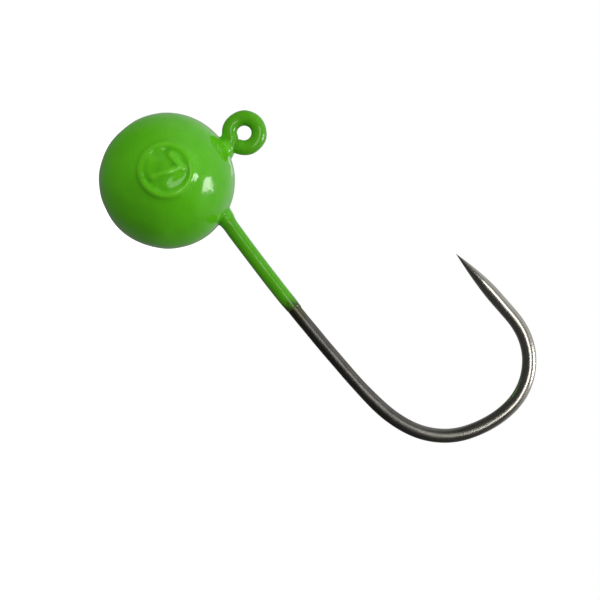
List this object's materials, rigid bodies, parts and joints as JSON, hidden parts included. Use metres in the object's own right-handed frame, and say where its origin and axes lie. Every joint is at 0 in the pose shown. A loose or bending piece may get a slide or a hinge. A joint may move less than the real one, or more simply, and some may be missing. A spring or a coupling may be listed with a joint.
{
  "type": "jig head",
  "caption": "Ball-headed fishing jig: a lead ball cast round a bent wire hook with a line eye on top, under an enamel coat.",
  "frame": {"origin": "centre of the line eye's hole, in the plane of the hook's wire", "axes": "+X along the hook's shank, from the ball to the bend; +Z from the ball to the line eye and the point's side; Y across the plane of the wire"},
  "size_m": [0.0372, 0.0109, 0.0207],
  "materials": {
    "hook_steel": "gloss",
    "lead": "matte",
    "enamel": "gloss"
  },
  "bodies": {
    "root": {"hook": "hook_steel", "lead_head": "lead", "enamel_coat": "enamel"}
  },
  "joints": []
}
